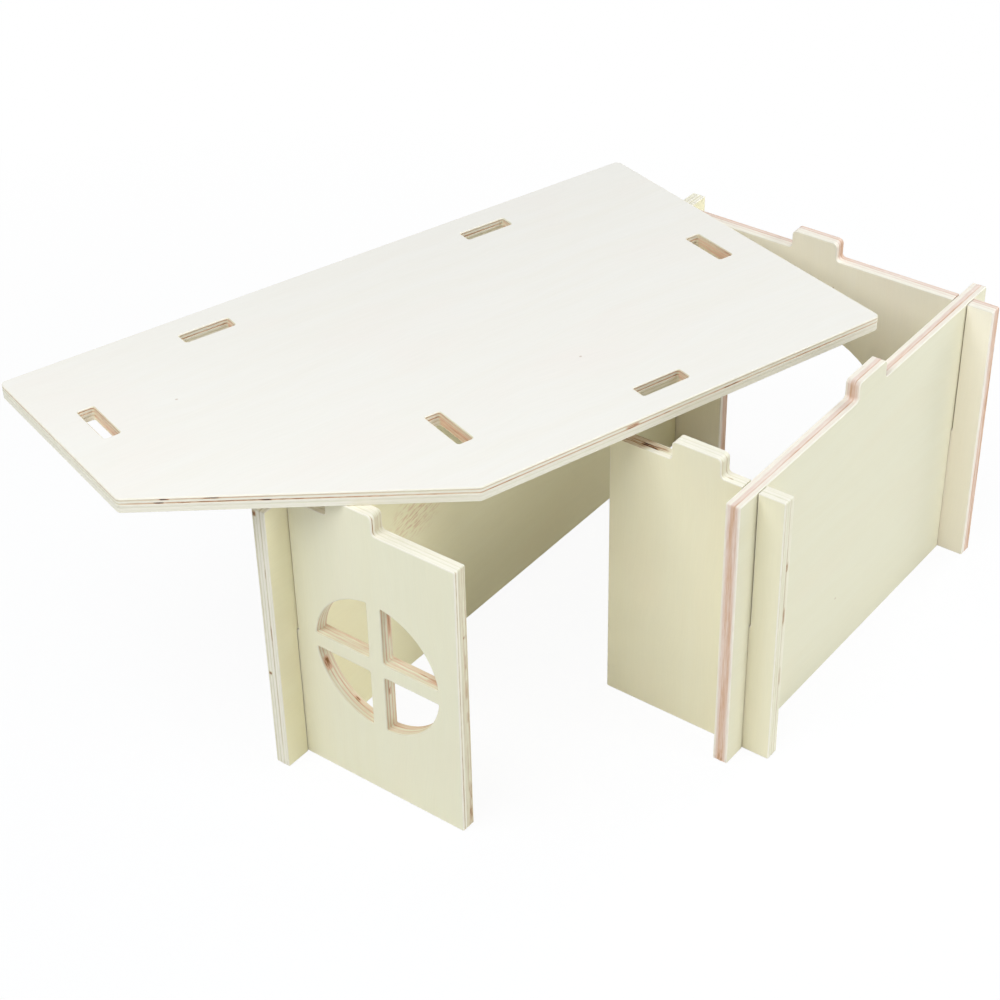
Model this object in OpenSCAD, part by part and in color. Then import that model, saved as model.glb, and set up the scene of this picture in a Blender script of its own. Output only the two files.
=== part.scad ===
// Flat-pack corner house for a rabbit: five plywood walls halved into each other, and a loose plywood roof.
// X runs from the back wall to the front wall, Y from the window wall to the doorway wall, Z up from the floor.
// The origin is on the floor, where the middle planes of the back wall and the window wall cross.
// The roof lies turned on top of the tabs; turned straight and let down, its slots go over them.

/* [Boards] */
// Thickness of every plywood board
board_t = 12; // [9:0.5:16]
// Height of the walls, up to the shoulders that carry the roof
wall_h = 240; // [190:1:300]
// Radius of the outer corners of the walls
wall_corner_r = 1.5; // [1:0.5:8]

/* [Plan of the walls] */
// Distance from the back wall to the front wall, middle to middle
house_depth = 268; // [240:1:310]
// Distance from the window wall to the doorway wall, middle to middle
house_length = 513; // [450:1:580]
// Distance from the window wall to the entrance wall, middle to middle
entrance_place = 197; // [160:1:235]
// Reach of the window wall from the middle of the back wall to its free end
window_wall_reach = 157; // [145:1:190]
// Reach of the entrance wall from the middle of the front wall to its free end
entrance_wall_reach = 120; // [90:1:150]
// Length of each wall end that stands out past a crossing
stub_l = 23; // [12:1:35]

/* [Halving joints] */
// Room on each side of a board in a halving slot
halving_clear = 0.5; // [0.2:0.1:0.9]
// Room between the ends of the two slots of a halving joint
halving_end_gap = 0.5; // [0.2:0.1:0.9]

/* [Tabs] */
// Width of each tab
tab_w = 42; // [30:1:60]
// Height of each tab above the shoulder
tab_h = 16; // [13:0.5:22]
// Radius of the upper corners of each tab
tab_corner_r = 4; // [1:0.5:6]
// Radius of the hollow fillets at the foot of each tab
tab_fillet_r = 3; // [1:0.5:6]
// Distance of each back wall tab from the middle of that wall
back_tab_place = 131; // [90:1:180]

/* [Window] */
// Radius of the round window
window_r = 57; // [40:0.5:62]
// Height of the middle of the window above the floor
window_height = 120; // [100:1:140]
// Width of the two bars that cross in the window
window_bar_w = 13; // [8:0.5:20]
// Radius of the corner of each pane where the bars cross
window_corner_r = 2; // [1:0.5:5]

/* [Doorway] */
// Width of the doorway
doorway_w = 164; // [120:1:190]
// Height at which the half-round top of the doorway starts
doorway_spring = 89; // [60:1:110]

/* [Roof] */
// Overhang of the fitted roof past the window wall and the doorway wall
roof_end_overhang = 28.5; // [15:0.5:45]
// Overhang of the fitted roof past the back wall and the front wall
roof_side_overhang = 22.5; // [12:0.5:40]
// Distance from the entrance end of the front wall to the front end of the cut corner
roof_cut_reach = 5; // [0:0.5:20]
// Radius of the corners of the roof
roof_corner_r = 5; // [2:0.5:15]
// Room all round a tab in its roof slot
roof_slot_clear = 0.5; // [0.3:0.1:1.5]
// Radius of the corners of the roof slots
roof_slot_corner_r = 2; // [1:0.5:4]
// Turn of the lying roof about its back corner, against the fitted place
roof_turn = -17.4; // [-25:0.1:-10]
// Shift of that corner across the house
roof_shift_x = -34; // [-45:0.5:-20]
// Shift of that corner along the house
roof_shift_y = -40; // [-60:0.5:-20]

/* [Hidden] */
$fn = 96;

// How far a cut runs past the face that it opens
through = 1;
wood_pale = "#E4E1C8";
wood_roof = "#F2F1EA";

// Wall ends and middles
wall_out = board_t / 2 + stub_l;
back_from = -wall_out;
back_to = house_length + wall_out;
back_middle = (back_from + back_to) / 2;
front_from = entrance_place - wall_out;
front_to = house_length + wall_out;
front_middle = (front_from + front_to) / 2;
window_from = -wall_out;
window_to = window_wall_reach;
window_tab = (window_from + window_to) / 2;
window_middle = (board_t / 2 + window_to) / 2;
entrance_from = house_depth - entrance_wall_reach;
entrance_to = house_depth + wall_out;
entrance_middle = (entrance_from + entrance_to) / 2;
doorway_from = -wall_out;
doorway_to = house_depth + wall_out;
doorway_middle = (doorway_from + doorway_to) / 2;

// Halving slots: half the wall high, a little wider than a board
halving_w = board_t + 2 * halving_clear;
halving_h = (wall_h + halving_end_gap) / 2;

// Roof outline in its fitted place
roof_x0 = -board_t / 2 - roof_side_overhang;
roof_x1 = house_depth + board_t / 2 + roof_side_overhang;
roof_y0 = -board_t / 2 - roof_end_overhang;
roof_y1 = house_length + board_t / 2 + roof_end_overhang;
roof_corners = [
    [roof_x0, roof_y0],
    [window_to, roof_y0],
    [roof_x1, front_from + roof_cut_reach],
    [roof_x1, roof_y1],
    [roof_x0, roof_y1]
];
roof_pivot = [roof_x0, roof_y1];
roof_z = wall_h + tab_h;
slot_l = tab_w + 2 * roof_slot_clear;
slot_w = board_t + 2 * roof_slot_clear;

function unit(v) = v / norm(v);
// Ways from corner i of an outline to its neighbours
function way_back(p, i) = unit(p[(i + len(p) - 1) % len(p)] - p[i]);
function way_on(p, i) = unit(p[(i + 1) % len(p)] - p[i]);
function half_angle(p, i) = acos(way_back(p, i) * way_on(p, i)) / 2;
// Where a corner's arc of radius r leaves the two edges, and its centre
function arc_start(p, i, r) = p[i] + way_back(p, i) * r / tan(half_angle(p, i));
function arc_end(p, i, r) = p[i] + way_on(p, i) * r / tan(half_angle(p, i));
function arc_centre(p, i, r) = p[i] + unit(way_back(p, i) + way_on(p, i)) * r / sin(half_angle(p, i));

// Convex outline with each corner rounded to radius r
module rounded_outline(p, r) {
    polygon([for (i = [0 : len(p) - 1]) each [arc_start(p, i, r), arc_end(p, i, r)]]);
    for (i = [0 : len(p) - 1])
        translate(arc_centre(p, i, r)) circle(r);
}

module rounded_plate(low, high, r) {
    rounded_outline([low, [high.x, low.y], high, [low.x, high.y]], r);
}

// Hollow fillet between a shoulder and a tab side, in the corner right of and above its origin
module tab_fillet() {
    difference() {
        translate([-tab_fillet_r, -tab_fillet_r]) square(2 * tab_fillet_r);
        translate([tab_fillet_r, tab_fillet_r]) circle(tab_fillet_r);
    }
}

module tab(place) {
    translate([place, wall_h]) {
        rounded_plate([-tab_w / 2, -2 * tab_corner_r], [tab_w / 2, tab_h], tab_corner_r);
        translate([tab_w / 2, 0]) tab_fillet();
        translate([-tab_w / 2, 0]) rotate(90) tab_fillet();
    }
}

// Outline of a wall seen square on, standing on the floor from one end to the other
module wall_outline(from, to, tabs) {
    rounded_plate([from, 0], [to, wall_h], wall_corner_r);
    for (place = tabs) tab(place);
}

module slot_from_below(place) {
    translate([place - halving_w / 2, -through]) square([halving_w, halving_h + through]);
}

module slot_from_above(place) {
    translate([place - halving_w / 2, wall_h - halving_h]) square([halving_w, halving_h + through]);
}

// Boards stood up along Y at one X, and along X at one Y
module board_along_y(x) {
    translate([x, 0, 0]) rotate([90, 0, 90]) linear_extrude(board_t, center = true) children();
}

module board_along_x(y) {
    translate([0, y, 0]) rotate([90, 0, 0]) linear_extrude(board_t, center = true) children();
}

// Upper right pane of the window: a quarter of the disc beside the bars, rounded where the bars cross
module window_pane() {
    edge = window_bar_w / 2;
    intersection() {
        circle(window_r);
        rounded_plate([edge, edge], [2 * window_r, 2 * window_r], window_corner_r);
    }
}

module window_opening() {
    translate([window_middle, window_height])
        for (quarter = [0 : 3]) rotate(90 * quarter) window_pane();
}

module doorway_opening() {
    translate([doorway_middle, doorway_spring]) {
        circle(doorway_w / 2);
        translate([-doorway_w / 2, -doorway_spring - through]) square([doorway_w, doorway_spring + through]);
    }
}

// Slots for the tabs of walls along Y and of walls along X
module roof_slot_along_y(place) {
    translate(place)
        rounded_plate([-slot_w / 2, -slot_l / 2], [slot_w / 2, slot_l / 2], roof_slot_corner_r);
}

module roof_slot_along_x(place) {
    translate(place)
        rounded_plate([-slot_l / 2, -slot_w / 2], [slot_l / 2, slot_w / 2], roof_slot_corner_r);
}

module roof_outline() {
    difference() {
        rounded_outline(roof_corners, roof_corner_r);
        for (side = [-1, 1]) roof_slot_along_y([0, back_middle + side * back_tab_place]);
        roof_slot_along_y([house_depth, front_middle]);
        roof_slot_along_x([window_tab, 0]);
        roof_slot_along_x([entrance_middle, entrance_place]);
        roof_slot_along_x([doorway_middle, house_length]);
    }
}

module back_wall() {
    color(wood_pale) board_along_y(0) difference() {
        wall_outline(back_from, back_to, [back_middle - back_tab_place, back_middle + back_tab_place]);
        slot_from_below(0);
        slot_from_below(house_length);
    }
}

module front_wall() {
    color(wood_pale) board_along_y(house_depth) difference() {
        wall_outline(front_from, front_to, [front_middle]);
        slot_from_below(entrance_place);
        slot_from_below(house_length);
    }
}

module window_wall() {
    color(wood_pale) board_along_x(0) difference() {
        wall_outline(window_from, window_to, [window_tab]);
        slot_from_above(0);
        window_opening();
    }
}

module entrance_wall() {
    color(wood_pale) board_along_x(entrance_place) difference() {
        wall_outline(entrance_from, entrance_to, [entrance_middle]);
        slot_from_above(house_depth);
    }
}

module doorway_wall() {
    color(wood_pale) board_along_x(house_length) difference() {
        wall_outline(doorway_from, doorway_to, [doorway_middle]);
        slot_from_above(0);
        slot_from_above(house_depth);
        doorway_opening();
    }
}

module roof_panel() {
    color(wood_roof)
        translate([roof_pivot.x + roof_shift_x, roof_pivot.y + roof_shift_y, roof_z])
        rotate(roof_turn) translate(-roof_pivot)
        linear_extrude(board_t) roof_outline();
}

back_wall();
window_wall();
entrance_wall();
front_wall();
doorway_wall();
roof_panel();
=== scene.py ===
"""Rabbit house of six loose plywood boards: looks of the walls, the roof and the stage.

Every board is one closed surface: an outline of straight sides and arcs, an edge profile carried along it,
and two flat faces. All lengths are in metres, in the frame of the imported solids.
"""

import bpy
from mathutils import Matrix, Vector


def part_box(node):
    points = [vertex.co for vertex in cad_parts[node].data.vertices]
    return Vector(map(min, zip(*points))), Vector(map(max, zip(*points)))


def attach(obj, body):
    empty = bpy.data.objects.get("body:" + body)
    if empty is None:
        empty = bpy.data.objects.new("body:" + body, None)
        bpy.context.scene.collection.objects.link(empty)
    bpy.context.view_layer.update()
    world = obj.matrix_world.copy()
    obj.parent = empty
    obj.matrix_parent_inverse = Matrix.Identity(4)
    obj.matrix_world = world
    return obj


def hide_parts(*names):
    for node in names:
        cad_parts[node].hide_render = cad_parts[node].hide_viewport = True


bl_info = {
    "name": "Rabbit house",
    "version": (1, 0, 0),
    "blender": (4, 5, 0),
    "location": "View3D > Sidebar > Rabbit house",
    "description": "Plywood boards of a flat-pack rabbit house, with its stage",
    "category": "Object",
}

import math

import bpy
import numpy as np
from mathutils import Euler, Matrix, Quaternion, Vector
from mathutils.geometry import delaunay_2d_cdt

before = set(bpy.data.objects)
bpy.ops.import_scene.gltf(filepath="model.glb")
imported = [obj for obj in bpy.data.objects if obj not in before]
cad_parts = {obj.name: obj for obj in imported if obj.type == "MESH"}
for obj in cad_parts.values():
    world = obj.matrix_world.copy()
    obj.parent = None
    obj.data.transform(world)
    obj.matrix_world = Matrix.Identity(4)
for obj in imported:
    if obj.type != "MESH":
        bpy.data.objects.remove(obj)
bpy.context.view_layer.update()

MM = 0.001
UV_NAME = "grain"
TONE_NAME = "ply_tone"

# Place and width of each square lamp, and the point that all of them face
LAMPS = {
    "key": ((-0.1, -1.0, 1.9), 1.6),
    "front": ((2.8, 0.35, 0.3), 0.8),
    "front_upper": ((2.4, 0.6, 1.5), 0.8),
    "doorway_side": ((0.6, 1.9, 1.2), 1.0),
}
LAMP_TARGET = Vector((0.1, 0.2, 0.12))
WHITE = (1, 1, 1, 1)
# Width of the camera's sensor in millimetres
SENSOR_WIDTH = 36

# Half the width of the floor, its way below the boards, and what it gives back of the light
FLOOR_REACH = 6
FLOOR_DROP = 0.2 * MM
FLOOR_WHITE = (0.94, 0.94, 0.94, 1)
# Share of plain white in what the camera sees of the floor near the house, and the distances between which
# that share grows to all of it
FLOOR_PLAIN = 0.93
FLOOR_FADE = (0.5, 1.1)

# Points on each rounded corner and on the arc of a pane, and rows on each eased arris
ARC_POINTS = 13
WINDOW_POINTS = 40
ROUND_ROWS = 5
# Longest step along a side of an outline, and the distance up to which two points count as one
OUTLINE_STEP = 2 * MM
DOUBLED = 0.001 * MM
# Triangles of the flat faces: reach of the nearness test, and the mode that keeps those inside an outline
FACE_NEAR = 0.0001 * MM
FACE_INSIDE = 1

# Shares of the thickness that the five plies take, from face to face
PLY_SHARES = np.array([0.13, 0.235, 0.27, 0.235, 0.13])
# Half the width of a glue line and the wood that it stains; drawn wider than real ones, which would not show
GLUE_HALF = 0.7 * MM
# Rows of one glue line in shares of that half width, and their layers: ply, line, line and next ply
GLUE_ROWS = np.array([-1, -0.5, 0.5, 1])
GLUE_LAYERS = np.array([0, 1, 1, 2])
# Depth of the rows of two glue lines with a cross ply between them, in shares of the ply relief
RELIEF_ROWS = np.array([0, 1.5, 1.5, 1, 1, 1.5, 1.5, 0])

# Shifts of the UV map from board to board and from face to face, so that no two faces share their figure
BATCH_SHIFT = np.array([1.37, 2.11])
BACK_FACE_SHIFT = np.array([0.61, 0.43])

# How brown the nine layers of an edge are from face to face, plies and glue lines in turn:
# first where the edge runs with the face grain, then where it runs across it
LAYER_TONES = {
    "back_wall": (
        (0.02, 0.15, 0.08, 0.45, 0.05, 0.25, 0.15, 0.2, 0.03),
        (0.05, 0.2, 0.06, 0.45, 0.05, 0.35, 0.08, 0.35, 0.2),
    ),
    "window_wall": (
        (0.05, 0.85, 0.1, 0.5, 0.4, 0.55, 0.4, 0.65, 0.25),
        (0.0, 0.12, 0.05, 0.25, 0.08, 0.25, 0.1, 0.12, 0.02),
    ),
    "window_wall_cuts": (
        (0.22, 0.52, 0.25, 0.62, 0.28, 0.58, 0.3, 0.62, 0.3),
        (0.28, 0.45, 0.36, 0.5, 0.4, 0.65, 0.48, 0.6, 0.48),
    ),
    "entrance_wall": (
        (0.06, 0.45, 0.25, 0.35, 0.25, 0.6, 0.25, 0.25, 0.08),
        (0.0, 0.08, 0.05, 0.25, 0.03, 0.2, 0.1, 0.1, 0.0),
    ),
    "front_wall": (
        (0.0, 0.15, 0.12, 0.62, 0.36, 0.32, 0.08, 0.15, 0.0),
        (0.1, 0.25, 0.5, 0.58, 0.6, 0.58, 0.4, 0.2, 0.06),
    ),
    "doorway_wall": (
        (0.03, 0.2, 0.12, 0.5, 0.55, 0.6, 0.65, 0.7, 0.5),
        (0.02, 0.1, 0.04, 0.2, 0.1, 0.5, 0.35, 0.5, 0.25),
    ),
    "roof_panel": (
        (0.02, 0.5, 0.05, 0.75, 0.05, 0.2, 0.06, 0.15, 0.05),
        (0.05, 0.55, 0.1, 0.3, 0.1, 0.15, 0.08, 0.1, 0.08),
    ),
    # In the roof's slots the plies across the grain are darker than on its outline: partly tan end grain,
    # partly painted shade on the slot walls
    "roof_panel_cuts": (
        (0.03, 0.6, 0.06, 0.9, 0.08, 0.35, 0.05, 0.25, 0.05),
        (0.36, 0.62, 0.52, 0.64, 0.58, 0.62, 0.55, 0.58, 0.5),
    ),
}

# How steeply the tone of a knot or split rises to its full value
MARK_RISE = 1.3
# Knots and splits in the edges: place on the outline and half length in millimetres,
# first and last layer, and tone
MARKS = {
    "back_wall": (
        (-29, 236, 3, 6, 7, 1.2),
        (-29, 184, 5, 3, 3, 0.9),
        (-29, 129, 9, 3, 3, 0.9),
        (-29, 89, 2, 6, 7, 1.3),
    ),
    "window_wall": (
        (157, 179, 2, 5, 6, 1.0),
        (157, 156, 10, 6, 7, 0.75),
        (157, 131, 13, 5, 6, 0.72),
        (157, 105, 7, 5, 6, 0.72),
        (157, 24, 26, 6, 7, 1.0),
    ),
    "window_wall_cuts": (
        (30, 97, 7, 2, 4, 1.05),
        (53, 71, 3, 5, 6, 1.15),
        (88, 158, 16, 6, 6, 0.75),
        (88, 98, 4, 4, 4, 1.05),
        (119, 126.5, 6, 5, 5, 1.05),
        (130, 126.5, 8, 4, 5, 0.85),
    ),
    "entrance_wall": (
        (166, 240, 17, 0, 8, 0.9),
        (183, 240, 16, 4, 7, 0.85),
        (180, 240, 10, 3, 4, 1.7),
        (249, 240, 3, 3, 3, 1.1),
        (297, 179, 5, 5, 6, 0.95),
        (297, 134, 10, 5, 6, 0.75),
        (297, 77, 12, 5, 6, 0.75),
    ),
    "front_wall": ((168, 6, 9, 3, 5, 0.85),),
    "roof_panel": (
        (227, 69, 150, 3, 3, 0.95),
        (173, -10, 4, 3, 3, 2.0),
        (175, -8, 4, 1, 1, 2.0),
        (183, 4, 8, 3, 3, 1.2),
        (193, 19, 8, 1, 1, 1.2),
        (214, 50, 5, 3, 3, 2.0),
        (296.5, 306, 7, 2, 3, 1.0),
        (296.5, 338, 6, 3, 3, 1.2),
        (296.5, 400, 13, 3, 3, 1.4),
    ),
}

# Middle of the burl in the inner face of the back wall, along the wall and up, and half of its size,
# in millimetres
BURLS = {"back_wall": (136, 142)}
BURL_HALF = (40, 26)
# Lean of its strokes to the grain
BURL_LEAN = math.radians(-14)

# Kind of sheet that the edges of each board show: along its outline, then in its cuts where they differ
EDGE_KINDS = {
    "back_wall": ("pale",),
    "window_wall": ("pale", "ruddy"),
    "entrance_wall": ("pale",),
    "front_wall": ("rosy",),
    "doorway_wall": ("rosy",),
    "roof_panel": ("ruddy",),
}

# Share of the pale wood's red, green and blue that is left in the figure and in the warm patches of a face
FIGURE_SHARE = (0.992, 0.985, 0.968)
BLUSH_SHARE = (1.002, 0.976, 0.968)


def linear(text):
    """Linear colour from an sRGB hex value, channel by channel by the sRGB curve."""
    code = np.array([int(text[i : i + 2], 16) for i in (1, 3, 5)]) / 255
    return tuple(np.where(code <= 0.04045, code / 12.92, ((code + 0.055) / 1.055) ** 2.4))


def length(name, note, size):
    """Property for a length given in millimetres."""
    return bpy.props.FloatProperty(name=name, description=note, default=size * MM, min=0, unit="LENGTH")


def colour(name, note, text):
    """Property for a colour given as an sRGB hex value."""
    return bpy.props.FloatVectorProperty(
        name=name, description=note, default=linear(text), subtype="COLOR", size=3, min=0, max=1
    )


def power(name, note, watts):
    """Property for the power of a lamp."""
    return bpy.props.FloatProperty(name=name, description=note, default=watts, min=0, unit="POWER")


class HouseSizes(bpy.types.PropertyGroup):
    """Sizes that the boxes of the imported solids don't give"""

    wall_height: length("Wall height", "Floor to the shoulders of the walls", 240)
    wall_corner: length("Wall corner", "Radius of the outer corners of the walls", 1.5)
    slot_room: length("Slot room", "Room on each side of a board in a halving slot", 0.5)
    slot_end_gap: length("Slot end gap", "Room between the ends of two halving slots", 0.5)
    tab_width: length("Tab width", "Width of each tab", 42)
    tab_corner: length("Tab corner", "Radius of the upper corners of a tab", 4)
    tab_fillet: length("Tab fillet", "Radius of the hollow at the foot of a tab", 3)
    back_tab_place: length("Back tab place", "Back wall tabs, from the middle of that wall", 131)
    window_radius: length("Window radius", "Radius of the round window", 57)
    window_height: length("Window height", "Floor to the middle of the window", 120)
    window_bar: length("Window bar", "Width of the bars that cross in the window", 13)
    window_corner: length("Window corner", "Radius of a pane where the bars cross", 2)
    doorway_width: length("Doorway width", "Width of the doorway", 164)
    doorway_spring: length("Doorway spring", "Floor to the start of the half-round top", 89)
    roof_end: length("Roof end overhang", "Fitted roof past the window and doorway walls", 28.5)
    roof_side: length("Roof side overhang", "Fitted roof past the back and front walls", 22.5)
    roof_cut: length("Roof cut", "Entrance end of the front wall to the front end of the cut corner", 5)
    roof_corner: length("Roof corner", "Radius of the corners of the roof", 5)
    roof_slot_room: length("Roof slot room", "Room round a tab in its roof slot", 0.5)
    roof_slot_corner: length("Roof slot corner", "Radius of the corners of a roof slot", 2)
    roof_turn: bpy.props.FloatProperty(
        name="Roof turn",
        description="Turn of the lying roof about its back corner",
        default=math.radians(-17.4),
        subtype="ANGLE",
    )
    roof_shift: bpy.props.FloatVectorProperty(
        name="Roof shift",
        description="Shift of that corner from its fitted place",
        default=(-34 * MM, -40 * MM),
        size=2,
        unit="LENGTH",
    )
    edge_round: length("Edge round", "Radius that the sanded edges are eased to", 0.8)
    cut_corner: length("Cut corner", "Radius left at the sharp corners of a cut", 0.9)
    ply_relief: length("Ply relief", "Depth that the cross plies are sanded below the others", 0.1)


class HouseFinish(bpy.types.PropertyGroup):
    """Colours of the bare plywood, with painted light and shade in the wood colours of the faces"""

    # The wood colours of the faces hold painted light and shade as well as each board's own tone. All are
    # more saturated than the wood, so that shade comes out warm under the cool lamps. The back and entrance
    # walls are warmer still as painted shade, and the doorway wall is lighter as painted light on its shaded
    # inner face. The front wall is darker as painted shade against its strong lamp. The roof is paler than
    # wood can be, as a painted highlight on its brightly lit top.
    back_wall_wood: colour("Back wall wood", "Pale wood on the faces of the back wall", "#F6EEC8")
    window_wall_wood: colour("Window wall wood", "Pale wood on the faces of the window wall", "#EEE8CA")
    entrance_wall_wood: colour(
        "Entrance wall wood", "Pale wood on the faces of the entrance wall", "#F1E9C9"
    )
    front_wall_wood: colour("Front wall wood", "Pale wood on the faces of the front wall", "#E5DFC3")
    doorway_wall_wood: colour("Doorway wall wood", "Pale wood on the faces of the doorway wall", "#FBF2DC")
    roof_panel_wood: colour("Roof panel wood", "Pale wood on the faces of the roof panel", "#F0EADE")
    fleck: colour("Fleck", "Small pin knots in the faces", "#B08E6B")
    burl: colour("Burl", "Strokes of the burl in the back wall", "#CE9A72")
    edge_pale: colour("Edge pale", "Pale wood of the edges", "#F4ECD9")
    edge_beige: colour("Edge beige", "Darker wood of the edges", "#E3DCBE")
    edge_tan: colour("Edge tan", "Plies that show end grain", "#CDB899")
    edge_rose: colour("Edge rose", "Darker wood of the rosy edges", "#EBD6C6")
    edge_russet: colour("Edge russet", "Rosy plies that show end grain", "#D8B193")
    edge_brown: colour("Edge brown", "Glue lines and dense end grain", "#9C6C40")
    edge_knot: colour("Edge knot", "Knots and splits in the edges", "#43302A")


class HouseStage(bpy.types.PropertyGroup):
    """Camera and light"""

    eye: bpy.props.FloatVectorProperty(
        name="Eye",
        description="Place of the camera",
        default=(0.8978, -0.9117, 1.1439),
        size=3,
        unit="LENGTH",
    )
    aim: bpy.props.FloatVectorProperty(
        name="Aim",
        description="Elevation, azimuth and roll of the camera",
        default=(math.radians(35.809), math.radians(37.716), math.radians(-1.321)),
        size=3,
        subtype="EULER",
    )
    lens: bpy.props.FloatProperty(name="Lens", description="Focal length on a 36 mm sensor", default=79.19)
    light_tint: colour("Light tint", "Cool white of the lamps and the room", "#F1F7FF")
    room_light: bpy.props.FloatProperty(
        name="Room light", description="Strength of the even light", default=0.15
    )
    key_power: power("Key lamp", "Large lamp above the window side", 41)
    front_power: power("Front lamp", "Low lamp that faces the front wall", 13)
    front_upper_power: power("Upper front lamp", "Lamp above and before the front wall", 19)
    doorway_side_power: power("Doorway side lamp", "Lamp that faces the doorway wall", 19.5)


def sizes():
    return bpy.context.scene.rabbit_house_sizes


def finish():
    return bpy.context.scene.rabbit_house_finish


def unit(v):
    return v / np.linalg.norm(v, axis=-1, keepdims=True)


def arc(centre, radius, start, end, points):
    """Points on a circle: centre + radius (cos a, sin a), a from start to end in degrees."""
    a = np.radians(np.linspace(start, end, points))
    return np.array(centre) + radius * np.stack([np.cos(a), np.sin(a)], 1)


def rounded_loop(corners):
    """Closed outline through (x, y, radius) corners, each an arc that touches both of its sides.

    With unit ways a and b to the neighbours and half angle h between them, the arc's centre is at
    r / sin h along a + b, and its points turn from the foot on a to the foot on b by pi - 2 h.
    """
    table = np.array(corners, float)
    p, r = table[:, :2], table[:, 2:]
    a = unit(np.roll(p, 1, 0) - p)
    b = unit(np.roll(p, -1, 0) - p)
    half = np.arccos(np.sum(a * b, 1, keepdims=True)) / 2
    centre = p + unit(a + b) * r / np.sin(half)
    first = p + a * r / np.tan(half) - centre
    last = p + b * r / np.tan(half) - centre
    turn = np.pi - 2 * half
    t = np.linspace(0, 1, ARC_POINTS)[:, None, None]
    points = centre + (first * np.sin((1 - t) * turn) + last * np.sin(t * turn)) / np.sin(turn)
    return points.transpose(1, 0, 2).reshape(-1, 2)


def even_loop(loop):
    """The outline without doubled points, each long side split into equal steps: p_i + t (p_i+1 - p_i)."""
    loop = loop[np.linalg.norm(np.roll(loop, -1, 0) - loop, axis=1) > DOUBLED]
    side = np.roll(loop, -1, 0) - loop
    parts = np.ceil(np.linalg.norm(side, axis=1) / OUTLINE_STEP).astype(int)
    index = np.repeat(np.arange(len(loop)), parts)
    t = (np.arange(len(index)) - np.repeat(np.cumsum(parts) - parts, parts)) / parts[index]
    return loop[index] + t[:, None] * side[index]


def notch(place, width, foot, end, foot_radius, end_radius):
    """Four corners, from low to high, of a cut or a tab that goes from a level line at foot to end."""
    low, high = place - width / 2, place + width / 2
    return [
        (low, foot, foot_radius),
        (low, end, end_radius),
        (high, end, end_radius),
        (high, foot, foot_radius),
    ]


def wall_loop(low, high, top, tabs=(), below=(), above=(), doorway=None):
    """Outline of a wall seen square on, round from the lower corner at its low end."""
    s = sizes()
    cut = s.cut_corner
    width = board_thickness() + 2 * s.slot_room
    depth = (s.wall_height + s.slot_end_gap) / 2
    feet = [notch(place, width, 0, depth, cut, cut / 2) for place in below]
    if doorway is not None:
        radius = s.doorway_width / 2
        feet.append(notch(doorway, s.doorway_width, 0, s.doorway_spring + radius, cut, radius))
    heads = [notch(place, s.tab_width, s.wall_height, top, s.tab_fillet, s.tab_corner) for place in tabs]
    heads += [notch(place, width, s.wall_height, s.wall_height - depth, cut, cut / 2) for place in above]
    corners = [(low, 0, s.wall_corner)]
    corners += [c for four in sorted(feet) for c in four]
    corners += [(high, 0, s.wall_corner), (high, s.wall_height, s.wall_corner)]
    corners += [c for four in sorted(heads, reverse=True) for c in reversed(four)]
    corners += [(low, s.wall_height, s.wall_corner)]
    return rounded_loop(corners)


def window_loops(place):
    """Four panes: quarters of the disc beside the bars, run clockwise.

    A pane's outer corner is an arc that touches the bar and the disc: its centre is one radius from the
    bar and one radius inside the disc.
    """
    s = sizes()
    bar, tip, big = s.window_bar / 2, s.cut_corner, s.window_radius
    reach = math.sqrt((big - tip) ** 2 - (bar + tip) ** 2)
    lean = math.degrees(math.atan2(bar + tip, reach))
    inner = bar + s.window_corner
    pane = np.concatenate(
        [
            arc((reach, bar + tip), tip, -90, lean, ARC_POINTS),
            arc((0, 0), big, lean, 90 - lean, WINDOW_POINTS),
            arc((bar + tip, reach), tip, 90 - lean, 180, ARC_POINTS),
            arc((inner, inner), s.window_corner, 180, 270, ARC_POINTS),
        ]
    )[::-1]
    quarter = np.array([[0.0, 1.0], [-1.0, 0.0]])
    centre = np.array([place, s.window_height])
    return [pane @ np.linalg.matrix_power(quarter, k) + centre for k in range(4)]


def board_thickness():
    """Thickness of every board, from the box of the back wall."""
    low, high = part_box("back_wall")
    return high.x - low.x


def edge_profile(thickness):
    """Depth, inset and layer of each row of the edge, from one face to the other.

    Both arrises are quarter rounds; between them each glue line is a fine groove of four rows, and the
    two cross plies lie back by the ply relief.
    """
    s = sizes()
    turn = np.linspace(0, np.pi / 2, ROUND_ROWS)
    round_depth = s.edge_round * (1 - np.cos(turn))
    round_inset = s.edge_round * (1 - np.sin(turn))
    lines = np.cumsum(PLY_SHARES)[:-1] * thickness
    line_depth = (lines[:, None] + GLUE_HALF * GLUE_ROWS).ravel()
    line_inset = s.ply_relief * np.tile(RELIEF_ROWS, 2)
    line_layer = (2 * np.arange(len(lines))[:, None] + GLUE_LAYERS).ravel()
    depth = np.concatenate([round_depth, line_depth, thickness - round_depth[::-1]])
    inset = np.concatenate([round_inset, line_inset, round_inset[::-1]])
    face = np.zeros(ROUND_ROWS, int)
    layer = np.concatenate([face, line_layer, face + line_layer[-1]])
    return depth, inset, layer


def edge_tone(name, loop, along, layer):
    """How brown each row of a board's edge is along one outline.

    With along as the share of the edge's way that runs with the face grain, a layer's tone goes from its
    value across the grain to its value with the grain as along squared. At d from its place, a mark of half
    length h lifts the tone of its layers to its own times the lesser of 1 and MARK_RISE (1 - d^2 / h^2).
    """
    with_grain, across = (np.array(row)[layer][:, None] for row in LAYER_TONES[name])
    tone = across + (with_grain - across) * along**2
    for x, y, half, first, last, dark in MARKS.get(name, ()):
        away = np.linalg.norm(loop - np.array([x, y]) * MM, axis=1) / (half * MM)
        lift = dark * np.clip(MARK_RISE * (1 - away**2), 0, 1)
        rows = (layer >= first) & (layer <= last)
        tone[rows] = np.maximum(tone[rows], lift)
    return tone


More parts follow.
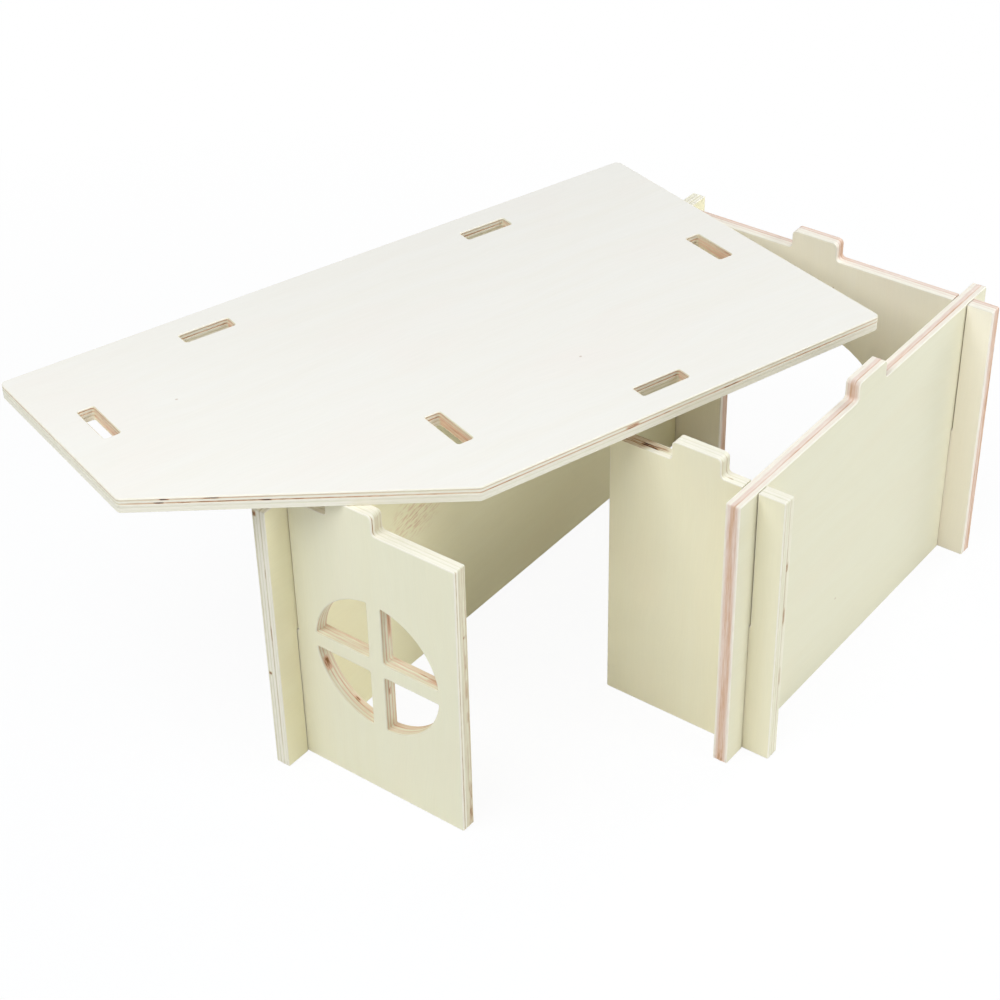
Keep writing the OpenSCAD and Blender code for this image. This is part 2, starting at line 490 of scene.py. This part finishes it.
def flat_triangles(rims):
    """Delaunay triangles that fill the first outline and leave the others, which are convex, open."""
    rim = np.concatenate(rims)
    counts = np.array([len(ring) for ring in rims])
    ends = np.cumsum(counts)
    on = np.arange(1, len(rim) + 1)
    on[ends - 1] = ends - counts
    corners = [Vector(p) for p in rim]
    sides = list(enumerate(on.tolist()))
    _, _, faces, sources, _, _ = delaunay_2d_cdt(corners, sides, [], FACE_INSIDE, FACE_NEAR)
    triangles = np.array([source[0] for source in sources])[np.array(faces)]

    # A triangle with all its corners on one of the convex outlines lies in the hole
    owner = np.repeat(np.arange(len(rims)), counts)[triangles]
    in_hole = (owner[:, 0] > 0) & (owner == owner[:, :1]).all(1)
    triangles = triangles[~in_hole]
    a, b, c = (rim[triangles[:, k]] for k in range(3))
    flipped = np.cross(b - a, c - a) < 0
    triangles[flipped] = triangles[flipped][:, ::-1]
    return triangles


def board_mesh(name, points, faces, uv, tone, kinds, rim):
    """Smooth mesh with its UV map, edge tones and kinds of surface, sharp along the points of its rims."""
    mesh = bpy.data.meshes.new(name)
    mesh.from_pydata(points, [], faces)
    uv_layer = mesh.uv_layers.new(name=UV_NAME)
    uv_layer.data.foreach_set("uv", uv.astype(np.float32).ravel())
    tones = mesh.attributes.new(TONE_NAME, "FLOAT", "POINT")
    tones.data.foreach_set("value", tone.astype(np.float32))
    mesh.polygons.foreach_set("use_smooth", np.ones(len(mesh.polygons), bool))
    mesh.polygons.foreach_set("material_index", kinds.astype(np.int32))
    on_rim = np.zeros(len(points), bool)
    on_rim[rim] = True
    ends = np.empty(2 * len(mesh.edges), np.int32)
    mesh.edges.foreach_get("vertices", ends)
    sharp = mesh.attributes.new("sharp_edge", "BOOLEAN", "EDGE")
    sharp.data.foreach_set("value", on_rim[ends.reshape(-1, 2)].all(1))
    mesh.validate()
    mesh.update()
    return mesh


def board(name, loops, origin, across, up, grain):
    """One board: edge surfaces along its outlines and two flat faces, put where the solid of that name is.

    A point of the edge is loop - inset n in the plane of the board, and half the thickness less the depth
    out of it, where n points out of the wood. The UV map holds metres: along and across the grain on the
    faces, along and through the board on the edges.
    """
    thickness = board_thickness()
    depth, inset, layer = edge_profile(thickness)
    rows = len(depth)
    axes = np.array([across, up], float)
    normal = np.cross(axes[0], axes[1])
    with_grain = np.array(grain, float)
    over_grain = np.array([-with_grain[1], with_grain[0]])

    points, quads, quad_uv, kinds, tones = [], [], [], [], []
    rims, front, back = [], [], []
    first = 0
    for number, loop in enumerate(map(even_loop, loops)):
        count = len(loop)
        side = np.roll(loop, -1, 0) - loop
        way = unit(unit(side) + unit(loop - np.roll(loop, 1, 0)))
        out = np.stack([way[:, 1], -way[:, 0]], 1)
        flat = loop - inset[:, None, None] * out
        points.append((flat @ axes + (thickness / 2 - depth)[:, None, None] * normal).reshape(-1, 3))
        part = name + "_cuts" if number else name
        tones.append(edge_tone(part, loop, np.abs(way @ with_grain), layer).ravel())

        here = np.arange(count)
        on = (here + 1) % count
        rims.append(flat[0])
        front.append(first + here)
        back.append(first + (rows - 1) * count + here)
        row = count * np.arange(rows - 1)[:, None] + first
        corners = [row + here, row + count + here, row + count + on, row + on]
        quads.append(np.stack(corners, -1).reshape(-1, 4))
        kinds.append(np.full(len(quads[-1]), 1 + min(number, len(EDGE_KINDS[name]) - 1)))
        run = np.concatenate([[0], np.cumsum(np.linalg.norm(side, axis=1))])
        u0, v0 = np.broadcast_arrays(run[:-1], depth[:-1, None])
        u1, v1 = np.broadcast_arrays(run[1:], depth[1:, None])
        uv = np.stack([u0, v0, u0, v1, u1, v1, u1, v0], -1).reshape(-1, 2)
        # Each outline starts at another place in the pattern of the edge
        quad_uv.append(uv + [first * MM, 0])
        first += rows * count

    points = np.concatenate(points) + np.array(origin)
    quads = np.concatenate(quads)
    rim, front, back = np.concatenate(rims), np.concatenate(front), np.concatenate(back)
    triangles = flat_triangles(rims)
    caps = np.concatenate([front[triangles], back[triangles[:, ::-1]]])
    cap_plane = np.concatenate([rim[triangles], rim[triangles[:, ::-1]] + BACK_FACE_SHIFT]).reshape(-1, 2)
    cap_uv = np.stack([cap_plane @ with_grain, cap_plane @ over_grain], 1)

    mesh = board_mesh(
        name,
        points,
        quads.tolist() + caps.tolist(),
        np.concatenate([*quad_uv, cap_uv]) + batch_shift(name),
        np.concatenate(tones),
        np.concatenate([*kinds, np.zeros(len(caps))]),
        np.concatenate([front, back]),
    )
    for material in board_materials(name):
        mesh.materials.append(material)
    piece = bpy.data.objects.new(name + "_board", mesh)
    bpy.context.scene.collection.objects.link(piece)
    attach(piece, name)
    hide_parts(name)


def add(tree, kind, inputs=(), **settings):
    """Adds a node: settings are its properties, inputs its socket values, or outputs to link to them."""
    node = tree.nodes.new("ShaderNode" + kind)
    for key, value in settings.items():
        setattr(node, key, value)
    for key, value in dict(inputs).items():
        if isinstance(value, bpy.types.NodeSocket):
            tree.links.new(value, node.inputs[key])
        else:
            node.inputs[key].default_value = value
    return node


def new_material(name):
    material = bpy.data.materials.new(name)
    material.use_nodes = True
    material.node_tree.nodes.clear()
    return material


def per_mm(along, over):
    """Scale of a pattern whose features are that many millimetres along and over the grain."""
    return (1 / (along * MM), 1 / (over * MM), 1)


def opaque(rgb):
    return (*rgb, 1)


def shaded(rgb, share):
    """Opaque colour with a share of each channel."""
    return (*(a * b for a, b in zip(rgb, share)), 1)


def batch_shift(name):
    """Shift of a board's UV map, by its place in the list of boards."""
    return BATCH_SHIFT * (1 + list(EDGE_KINDS).index(name))


def seen_share(tree):
    """1 for rays from the camera, straight or by gloss or glass, and 0 for rays that gather light."""
    path = add(tree, "LightPath").outputs
    straight, gloss, glass = path["Is Camera Ray"], path["Is Glossy Ray"], path["Is Transmission Ray"]
    seen = add(tree, "Math", {0: straight, 1: gloss}, operation="MAXIMUM").outputs[0]
    return add(tree, "Math", {0: seen, 1: glass}, operation="MAXIMUM").outputs[0]


def burl(tree, uv, place, wood):
    """Wood with a burl: leaning strokes 2 mm wide and 9 mm long, fading out in an oval 80 by 52 mm."""
    away = add(tree, "VectorMath", {0: uv, 1: (*place, 0)}, operation="SUBTRACT").outputs[0]
    away = add(tree, "VectorMath", {0: away, 1: per_mm(*BURL_HALF)}, operation="MULTIPLY").outputs[0]
    away = add(tree, "VectorMath", {0: away}, operation="LENGTH").outputs["Value"]
    near = add(tree, "MapRange", {0: away, 1: 0.3, 2: 1, 3: 0.55, 4: 0}).outputs[0]
    stroke = add(
        tree, "VectorRotate", {"Vector": uv, "Angle": BURL_LEAN}, rotation_type="Z_AXIS"
    ).outputs[0]
    stroke = add(tree, "VectorMath", {0: stroke, 1: per_mm(9, 2)}, operation="MULTIPLY").outputs[0]
    stroke = add(
        tree, "TexNoise", {"Vector": stroke, "Scale": 1, "Detail": 2}, noise_dimensions="2D"
    ).outputs["Fac"]
    stroke = add(tree, "MapRange", {0: stroke, 1: 0.44, 2: 0.7}).outputs[0]
    share = add(tree, "Math", {0: near, 1: stroke}, operation="MULTIPLY").outputs[0]
    return add(tree, "Mix", {0: share, 6: wood, 7: opaque(finish().burl)}, data_type="RGBA").outputs[2]


def veneer(name, wood, burl_at=None):
    """Face of poplar plywood, peeled and sanded, without any finish.

    To the eye: almost even pale wood with a soft satin, long faint figure with the grain, finer fibre in
    it, warm patches as wide as a hand, and here and there a pin knot. The wood colour given holds painted
    light and shade too.
    """
    material = new_material(name)
    tree = material.node_tree
    uv = add(tree, "UVMap", uv_map=UV_NAME).outputs["UV"]

    # The figure wanders by about 8 mm over a hand's breadth
    wander = add(tree, "VectorMath", {0: uv, 1: per_mm(160, 70)}, operation="MULTIPLY").outputs[0]
    wander = add(tree, "TexNoise", {"Vector": wander, "Scale": 1, "Detail": 2}, noise_dimensions="2D")
    wander = add(tree, "VectorMath", {0: wander.outputs["Color"], 1: (0.5, 0.5, 0.5)}, operation="SUBTRACT")
    bent = add(
        tree, "VectorMath", {0: wander.outputs[0], 1: (0, 24 * MM, 0), 2: uv}, operation="MULTIPLY_ADD"
    ).outputs[0]

    # Figure 260 mm long and 13 mm wide
    figure = add(tree, "VectorMath", {0: bent, 1: per_mm(260, 13)}, operation="MULTIPLY").outputs[0]
    figure = add(
        tree,
        "TexNoise",
        {"Vector": figure, "Scale": 1, "Detail": 4, "Roughness": 0.6},
        noise_dimensions="2D",
    ).outputs["Fac"]
    figure = add(tree, "MapRange", {0: figure, 1: 0.32, 2: 0.72}).outputs[0]

    # Fibre drawn 1.3 mm wide, coarser than real pores, which would not show
    fibre = add(tree, "VectorMath", {0: bent, 1: per_mm(34, 1.3)}, operation="MULTIPLY").outputs[0]
    fibre = add(
        tree, "TexNoise", {"Vector": fibre, "Scale": 1, "Detail": 2}, noise_dimensions="2D"
    ).outputs["Fac"]

    # Patches 120 mm long and 60 mm wide
    patch = add(tree, "VectorMath", {0: bent, 1: per_mm(120, 60)}, operation="MULTIPLY").outputs[0]
    patch = add(
        tree, "TexNoise", {"Vector": patch, "Scale": 1, "Detail": 3}, noise_dimensions="2D"
    ).outputs["Fac"]
    patch = add(tree, "MapRange", {0: patch, 1: 0.52, 2: 0.8, 4: 0.75}).outputs[0]

    # Pin knots 1.5 mm across, on about one cell in sixty of 45 by 32 mm
    cell = add(tree, "VectorMath", {0: bent, 1: per_mm(45, 32)}, operation="MULTIPLY").outputs[0]
    cell = add(tree, "TexVoronoi", {"Vector": cell, "Scale": 1}, voronoi_dimensions="2D")
    pin = add(tree, "MapRange", {0: cell.outputs["Distance"], 1: 0.014, 2: 0.034, 3: 1, 4: 0}).outputs[0]
    chosen = add(tree, "SeparateColor", {0: cell.outputs["Color"]}).outputs[0]
    chosen = add(tree, "Math", {0: chosen, 1: 0.983}, operation="GREATER_THAN").outputs[0]
    pin = add(tree, "Math", {0: pin, 1: chosen}, operation="MULTIPLY").outputs[0]

    dark, blush = shaded(wood, FIGURE_SHARE), shaded(wood, BLUSH_SHARE)
    wood = add(tree, "Mix", {0: figure, 6: opaque(wood), 7: dark}, data_type="RGBA").outputs[2]
    wood = add(tree, "Mix", {0: patch, 6: wood, 7: blush}, data_type="RGBA").outputs[2]
    shade = add(tree, "MapRange", {0: fibre, 1: 0.3, 2: 0.7, 3: 0.99, 4: 1.006}).outputs[0]
    wood = add(tree, "VectorMath", {0: wood, 3: shade}, operation="SCALE").outputs[0]
    pin = add(tree, "Math", {0: pin, 1: 0.5}, operation="MULTIPLY").outputs[0]
    wood = add(tree, "Mix", {0: pin, 6: wood, 7: opaque(finish().fleck)}, data_type="RGBA").outputs[2]
    if burl_at is not None:
        wood = burl(tree, uv, burl_at, wood)

    rough = add(tree, "MapRange", {0: fibre, 3: 0.58, 4: 0.72}).outputs[0]
    bump = add(tree, "Bump", {"Strength": 0.12, "Distance": 0.3 * MM, "Height": fibre}).outputs[0]
    shader = add(
        tree,
        "BsdfPrincipled",
        {"Base Color": wood, "Roughness": rough, "Normal": bump, "IOR": 1.5, "Specular IOR Level": 0.3},
    )
    add(tree, "OutputMaterial", {"Surface": shader.outputs[0]})
    return material


def sawn_edge(name, dark, tan):
    """Edge of poplar plywood, routed and eased by sanding; dark is its denser wood, tan its end grain.

    To the eye: pale cream, with fine lines of brown along the glue, darker and tan where a ply shows end
    grain, and a few mottled knots and splits. The tan in the walls of the roof's slots is partly painted
    shade.
    """
    if name in bpy.data.materials:
        return bpy.data.materials[name]
    material = new_material(name)
    tree = material.node_tree
    uv = add(tree, "UVMap", uv_map=UV_NAME).outputs["UV"]
    tone = add(tree, "Attribute", attribute_name=TONE_NAME).outputs["Fac"]

    # Brown comes and goes over 60 mm of the edge, layer by layer
    drift = add(tree, "VectorMath", {0: uv, 1: per_mm(60, 2.6)}, operation="MULTIPLY").outputs[0]
    drift = add(
        tree,
        "TexNoise",
        {"Vector": drift, "Scale": 1, "Detail": 3, "Roughness": 0.6},
        noise_dimensions="2D",
    ).outputs["Fac"]
    drift = add(tree, "MapRange", {0: drift, 1: 0.28, 2: 0.72, 3: 0.6, 4: 1.25}).outputs[0]

    # Knots and dark glue break up over 8 mm; the pale plies don't
    mottle = add(tree, "VectorMath", {0: uv, 1: per_mm(8, 0.7)}, operation="MULTIPLY").outputs[0]
    mottle = add(
        tree, "TexNoise", {"Vector": mottle, "Scale": 1, "Detail": 2}, noise_dimensions="2D"
    ).outputs["Fac"]
    mottle = add(tree, "MapRange", {0: mottle, 1: 0.35, 2: 0.65, 3: 0.6, 4: 1.1}).outputs[0]
    dense = add(tree, "MapRange", {0: tone, 1: 0.6, 2: 1.0}).outputs[0]
    mottle = add(tree, "Mix", {0: dense, 2: 1, 3: mottle}, data_type="FLOAT").outputs[0]
    drift = add(tree, "Math", {0: drift, 1: mottle}, operation="MULTIPLY").outputs[0]

    # Streaks 9 mm long and 0.5 mm deep in each ply
    streak = add(tree, "VectorMath", {0: uv, 1: per_mm(9, 0.5)}, operation="MULTIPLY").outputs[0]
    streak = add(
        tree, "TexNoise", {"Vector": streak, "Scale": 1, "Detail": 2}, noise_dimensions="2D"
    ).outputs["Fac"]
    streak = add(tree, "MapRange", {0: streak, 1: 0.25, 2: 0.75, 3: -0.08, 4: 0.08}).outputs[0]
    brown = add(tree, "Math", {0: tone, 1: drift, 2: streak}, operation="MULTIPLY_ADD").outputs[0]

    # From pale wood by darker wood, tan and brown to a knot, as the tone grows
    look = finish()
    wood = opaque(look.edge_pale)
    steps = ((0.03, 0.3, dark), (0.3, 0.65, tan), (0.65, 1.0, look.edge_brown), (1.0, 1.4, look.edge_knot))
    for low, high, rgb in steps:
        share = add(tree, "MapRange", {0: brown, 1: low, 2: high}).outputs[0]
        wood = add(tree, "Mix", {0: share, 6: wood, 7: opaque(rgb)}, data_type="RGBA").outputs[2]

    bump = add(tree, "Bump", {"Strength": 0.2, "Distance": 0.3 * MM, "Height": streak}).outputs[0]
    shader = add(
        tree,
        "BsdfPrincipled",
        {"Base Color": wood, "Roughness": 0.75, "Normal": bump, "IOR": 1.5, "Specular IOR Level": 0.25},
    )
    add(tree, "OutputMaterial", {"Surface": shader.outputs[0]})
    return material


def board_materials(name):
    """Face of one board, and the kinds of edge that it shows."""
    look = finish()
    burl_at = np.array(BURLS[name]) * MM + batch_shift(name) if name in BURLS else None
    # Each face gets its board's wood colour together with the painted light and shade that this colour holds
    face = veneer("sanded_poplar_veneer_" + name, getattr(look, name + "_wood"), burl_at)
    tones = {
        "pale": (look.edge_beige, look.edge_tan),
        "ruddy": (look.edge_beige, look.edge_russet),
        "rosy": (look.edge_rose, look.edge_russet),
    }
    kinds = EDGE_KINDS[name]
    return [face, *(sawn_edge("routed_" + kind + "_poplar_plywood_edge", *tones[kind]) for kind in kinds)]


def middle(node):
    low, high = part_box(node)
    return (low + high) / 2


def wall_along_y(name, tabs, below):
    """Wall in a plane of constant X: across is +Y and up is +Z, with the grain along the wall."""
    low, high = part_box(name)
    loop = wall_loop(low.y, high.y, high.z, tabs=tabs, below=below)
    origin = (middle(name).x, 0, 0)
    board(name, [loop], origin, (0, 1, 0), (0, 0, 1), (1, 0))


def wall_along_x(name, above, doorway=None, window=None):
    """Wall in a plane of constant Y: across is +X and up is +Z, with the grain upright."""
    low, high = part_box(name)
    loop = wall_loop(low.x, high.x, high.z, tabs=[middle(name).x], above=above, doorway=doorway)
    panes = window_loops(window) if window is not None else []
    origin = (0, middle(name).y, 0)
    board(name, [loop, *panes], origin, (1, 0, 0), (0, 0, 1), (0, 1))


class BuildBackWall(bpy.types.Operator):
    """Long wall at the back with two tabs, halved from below over the window and doorway walls"""

    bl_idname = "rabbit_house.back_wall"
    bl_label = "Back wall"

    def execute(self, context):
        place, apart = middle("back_wall").y, sizes().back_tab_place
        below = [middle("window_wall").y, middle("doorway_wall").y]
        wall_along_y("back_wall", [place - apart, place + apart], below)
        return {"FINISHED"}


class BuildWindowWall(bpy.types.Operator):
    """Short wall with the round barred window, halved from above under the back wall"""

    bl_idname = "rabbit_house.window_wall"
    bl_label = "Window wall"

    def execute(self, context):
        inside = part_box("back_wall")[1].x
        free_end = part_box("window_wall")[1].x
        above = [middle("back_wall").x]
        wall_along_x("window_wall", above, window=(inside + free_end) / 2)
        return {"FINISHED"}


class BuildEntranceWall(bpy.types.Operator):
    """Short plain wall beside the corner entrance, halved from above under the front wall"""

    bl_idname = "rabbit_house.entrance_wall"
    bl_label = "Entrance wall"

    def execute(self, context):
        wall_along_x("entrance_wall", [middle("front_wall").x])
        return {"FINISHED"}


class BuildFrontWall(bpy.types.Operator):
    """Plain wall at the front with one tab, halved from below over the entrance and doorway walls"""

    bl_idname = "rabbit_house.front_wall"
    bl_label = "Front wall"

    def execute(self, context):
        below = [middle("entrance_wall").y, middle("doorway_wall").y]
        wall_along_y("front_wall", [middle("front_wall").y], below)
        return {"FINISHED"}


class BuildDoorwayWall(bpy.types.Operator):
    """End wall with the half-round topped doorway, halved from above under the back and front walls"""

    bl_idname = "rabbit_house.doorway_wall"
    bl_label = "Doorway wall"

    def execute(self, context):
        above = [middle("back_wall").x, middle("front_wall").x]
        wall_along_x("doorway_wall", above, doorway=middle("doorway_wall").x)
        return {"FINISHED"}


class BuildRoofPanel(bpy.types.Operator):
    """Loose roof with a cut corner and six tab slots, lying turned on the tabs"""

    bl_idname = "rabbit_house.roof_panel"
    bl_label = "Roof panel"

    def execute(self, context):
        s = sizes()
        x0, x1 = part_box("back_wall")[0].x - s.roof_side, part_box("front_wall")[1].x + s.roof_side
        y0, y1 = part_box("window_wall")[0].y - s.roof_end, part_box("doorway_wall")[1].y + s.roof_end
        cut_x, cut_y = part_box("window_wall")[1].x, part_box("front_wall")[0].y + s.roof_cut
        outline = [(x0, y0), (cut_x, y0), (x1, cut_y), (x1, y1), (x0, y1)]
        loops = [rounded_loop([(*corner, s.roof_corner) for corner in outline])]

        # Slots for the tabs of the walls along Y, then of the walls along X
        long_side = s.tab_width + 2 * s.roof_slot_room
        short_side = board_thickness() + 2 * s.roof_slot_room
        along_y, along_x = (short_side, long_side), (long_side, short_side)
        back = middle("back_wall")
        slots = [((back.x, back.y + side * s.back_tab_place), along_y) for side in (-1, 1)]
        slots.append((middle("front_wall").xy, along_y))
        slots += [(middle(wall).xy, along_x) for wall in ("window_wall", "entrance_wall", "doorway_wall")]
        ring = [(-1, -1), (-1, 1), (1, 1), (1, -1)]
        for (x, y), (wide, tall) in slots:
            corners = [(x + i * wide / 2, y + j * tall / 2, s.roof_slot_corner) for i, j in ring]
            loops.append(rounded_loop(corners))

        turn = Matrix.Rotation(s.roof_turn, 3, "Z")
        pivot = Vector((x0, y1, 0))
        place = pivot + Vector((*s.roof_shift, 0)) - turn @ pivot
        place.z = middle("roof_panel").z
        board("roof_panel", loops, place, turn.col[0], turn.col[1], (0, 1))
        return {"FINISHED"}


class BuildStage(bpy.types.Operator):
    """Pale floor, soft light and the camera"""

    bl_idname = "rabbit_house.stage"
    bl_label = "Stage"

    def execute(self, context):
        s = context.scene.rabbit_house_stage
        context.scene.view_settings.view_transform = "Standard"
        self.lay_floor(context)
        self.light_room(context, s)
        for name, (place, width) in LAMPS.items():
            self.hang_lamp(context, name + "_lamp", place, width, getattr(s, name + "_power"))
        self.place_camera(context, s)
        return {"FINISHED"}

    def lay_floor(self, context):
        """White floor, just under the boards; mostly plain white to the eye, so that shadows stay faint."""
        mesh = bpy.data.meshes.new("floor")
        ring = [(-1, -1), (1, -1), (1, 1), (-1, 1)]
        corners = [(x * FLOOR_REACH, y * FLOOR_REACH, -FLOOR_DROP) for x, y in ring]
        mesh.from_pydata(corners, [], [(0, 1, 2, 3)])
        floor = bpy.data.objects.new("floor", mesh)
        context.scene.collection.objects.link(floor)
        material = new_material("matt_white_floor")
        tree = material.node_tree
        near, end = FLOOR_FADE
        place = add(tree, "TexCoord").outputs["Object"]
        far = add(tree, "VectorMath", {0: place}, operation="LENGTH").outputs["Value"]
        far = add(tree, "MapRange", {0: far, 1: near, 2: end, 3: FLOOR_PLAIN, 4: 1}).outputs[0]
        share = add(tree, "Math", {0: seen_share(tree), 1: far}, operation="MULTIPLY").outputs[0]
        matt = add(tree, "BsdfDiffuse", {"Color": FLOOR_WHITE}).outputs[0]
        plain = add(tree, "Emission", {"Color": WHITE, "Strength": 1}).outputs[0]
        upper = add(tree, "MixShader", {0: share, 1: matt, 2: plain}).outputs[0]
        under = add(tree, "BsdfTransparent").outputs[0]
        side = add(tree, "NewGeometry").outputs["Backfacing"]
        both = add(tree, "MixShader", {0: side, 1: upper, 2: under}).outputs[0]
        add(tree, "OutputMaterial", {"Surface": both})
        mesh.materials.append(material)

    def light_room(self, context, s):
        """Even light from all round; plain white where the camera sees past the floor."""
        world = bpy.data.worlds.new("even_room")
        context.scene.world = world
        world.use_nodes = True
        tree = world.node_tree
        tree.nodes.clear()
        lit = add(tree, "Background", {"Color": opaque(s.light_tint), "Strength": s.room_light}).outputs[0]
        plain = add(tree, "Background", {"Color": WHITE, "Strength": 1}).outputs[0]
        room = add(tree, "MixShader", {0: seen_share(tree), 1: lit, 2: plain}).outputs[0]
        add(tree, "OutputWorld", {"Surface": room})

    def hang_lamp(self, context, name, place, width, watts):
        """Square soft lamp that faces the middle of the house."""
        data = bpy.data.lights.new(name, "AREA")
        data.size = width
        data.energy = watts
        data.color = context.scene.rabbit_house_stage.light_tint
        lamp = bpy.data.objects.new(name, data)
        lamp.location = place
        lamp.rotation_euler = (LAMP_TARGET - Vector(place)).to_track_quat("-Z", "Y").to_euler()
        context.scene.collection.objects.link(lamp)

    def place_camera(self, context, s):
        """Camera turned down by its elevation and round by its azimuth, then rolled about its own axis."""
        elevation, azimuth, roll = s.aim
        data = bpy.data.cameras.new("camera")
        data.sensor_width = SENSOR_WIDTH
        data.lens = s.lens
        camera = bpy.data.objects.new("camera", data)
        camera.rotation_mode = "QUATERNION"
        down = Euler((math.pi / 2 - elevation, 0, azimuth)).to_quaternion()
        camera.rotation_quaternion = down @ Quaternion((0, 0, 1), roll)
        camera.location = s.eye
        context.scene.collection.objects.link(camera)
        context.scene.camera = camera


class HousePanel(bpy.types.Panel):
    """Lists the boards, the stage and their settings"""

    bl_idname = "VIEW3D_PT_rabbit_house"
    bl_label = "Rabbit house"
    bl_space_type = "VIEW_3D"
    bl_region_type = "UI"
    bl_category = "Rabbit house"

    def draw(self, context):
        for operator in OPERATORS:
            self.layout.operator(operator.bl_idname)
        for group in (
            context.scene.rabbit_house_sizes,
            context.scene.rabbit_house_finish,
            context.scene.rabbit_house_stage,
        ):
            box = self.layout.box()
            for key in group.bl_rna.properties.keys():
                if key not in ("rna_type", "name"):
                    box.prop(group, key)


OPERATORS = (
    BuildBackWall,
    BuildWindowWall,
    BuildEntranceWall,
    BuildFrontWall,
    BuildDoorwayWall,
    BuildRoofPanel,
    BuildStage,
)
GROUPS = (HouseSizes, HouseFinish, HouseStage)


def register():
    for cls in (*GROUPS, *OPERATORS, HousePanel):
        bpy.utils.register_class(cls)
    bpy.types.Scene.rabbit_house_sizes = bpy.props.PointerProperty(type=HouseSizes)
    bpy.types.Scene.rabbit_house_finish = bpy.props.PointerProperty(type=HouseFinish)
    bpy.types.Scene.rabbit_house_stage = bpy.props.PointerProperty(type=HouseStage)


def unregister():
    del bpy.types.Scene.rabbit_house_stage
    del bpy.types.Scene.rabbit_house_finish
    del bpy.types.Scene.rabbit_house_sizes
    for cls in (HousePanel, *reversed(OPERATORS), *reversed(GROUPS)):
        bpy.utils.unregister_class(cls)


def main():
    register()
    bpy.ops.rabbit_house.back_wall()
    bpy.ops.rabbit_house.window_wall()
    bpy.ops.rabbit_house.entrance_wall()
    bpy.ops.rabbit_house.front_wall()
    bpy.ops.rabbit_house.doorway_wall()
    bpy.ops.rabbit_house.roof_panel()
    bpy.ops.rabbit_house.stage()


if __name__ == "__main__":
    main()
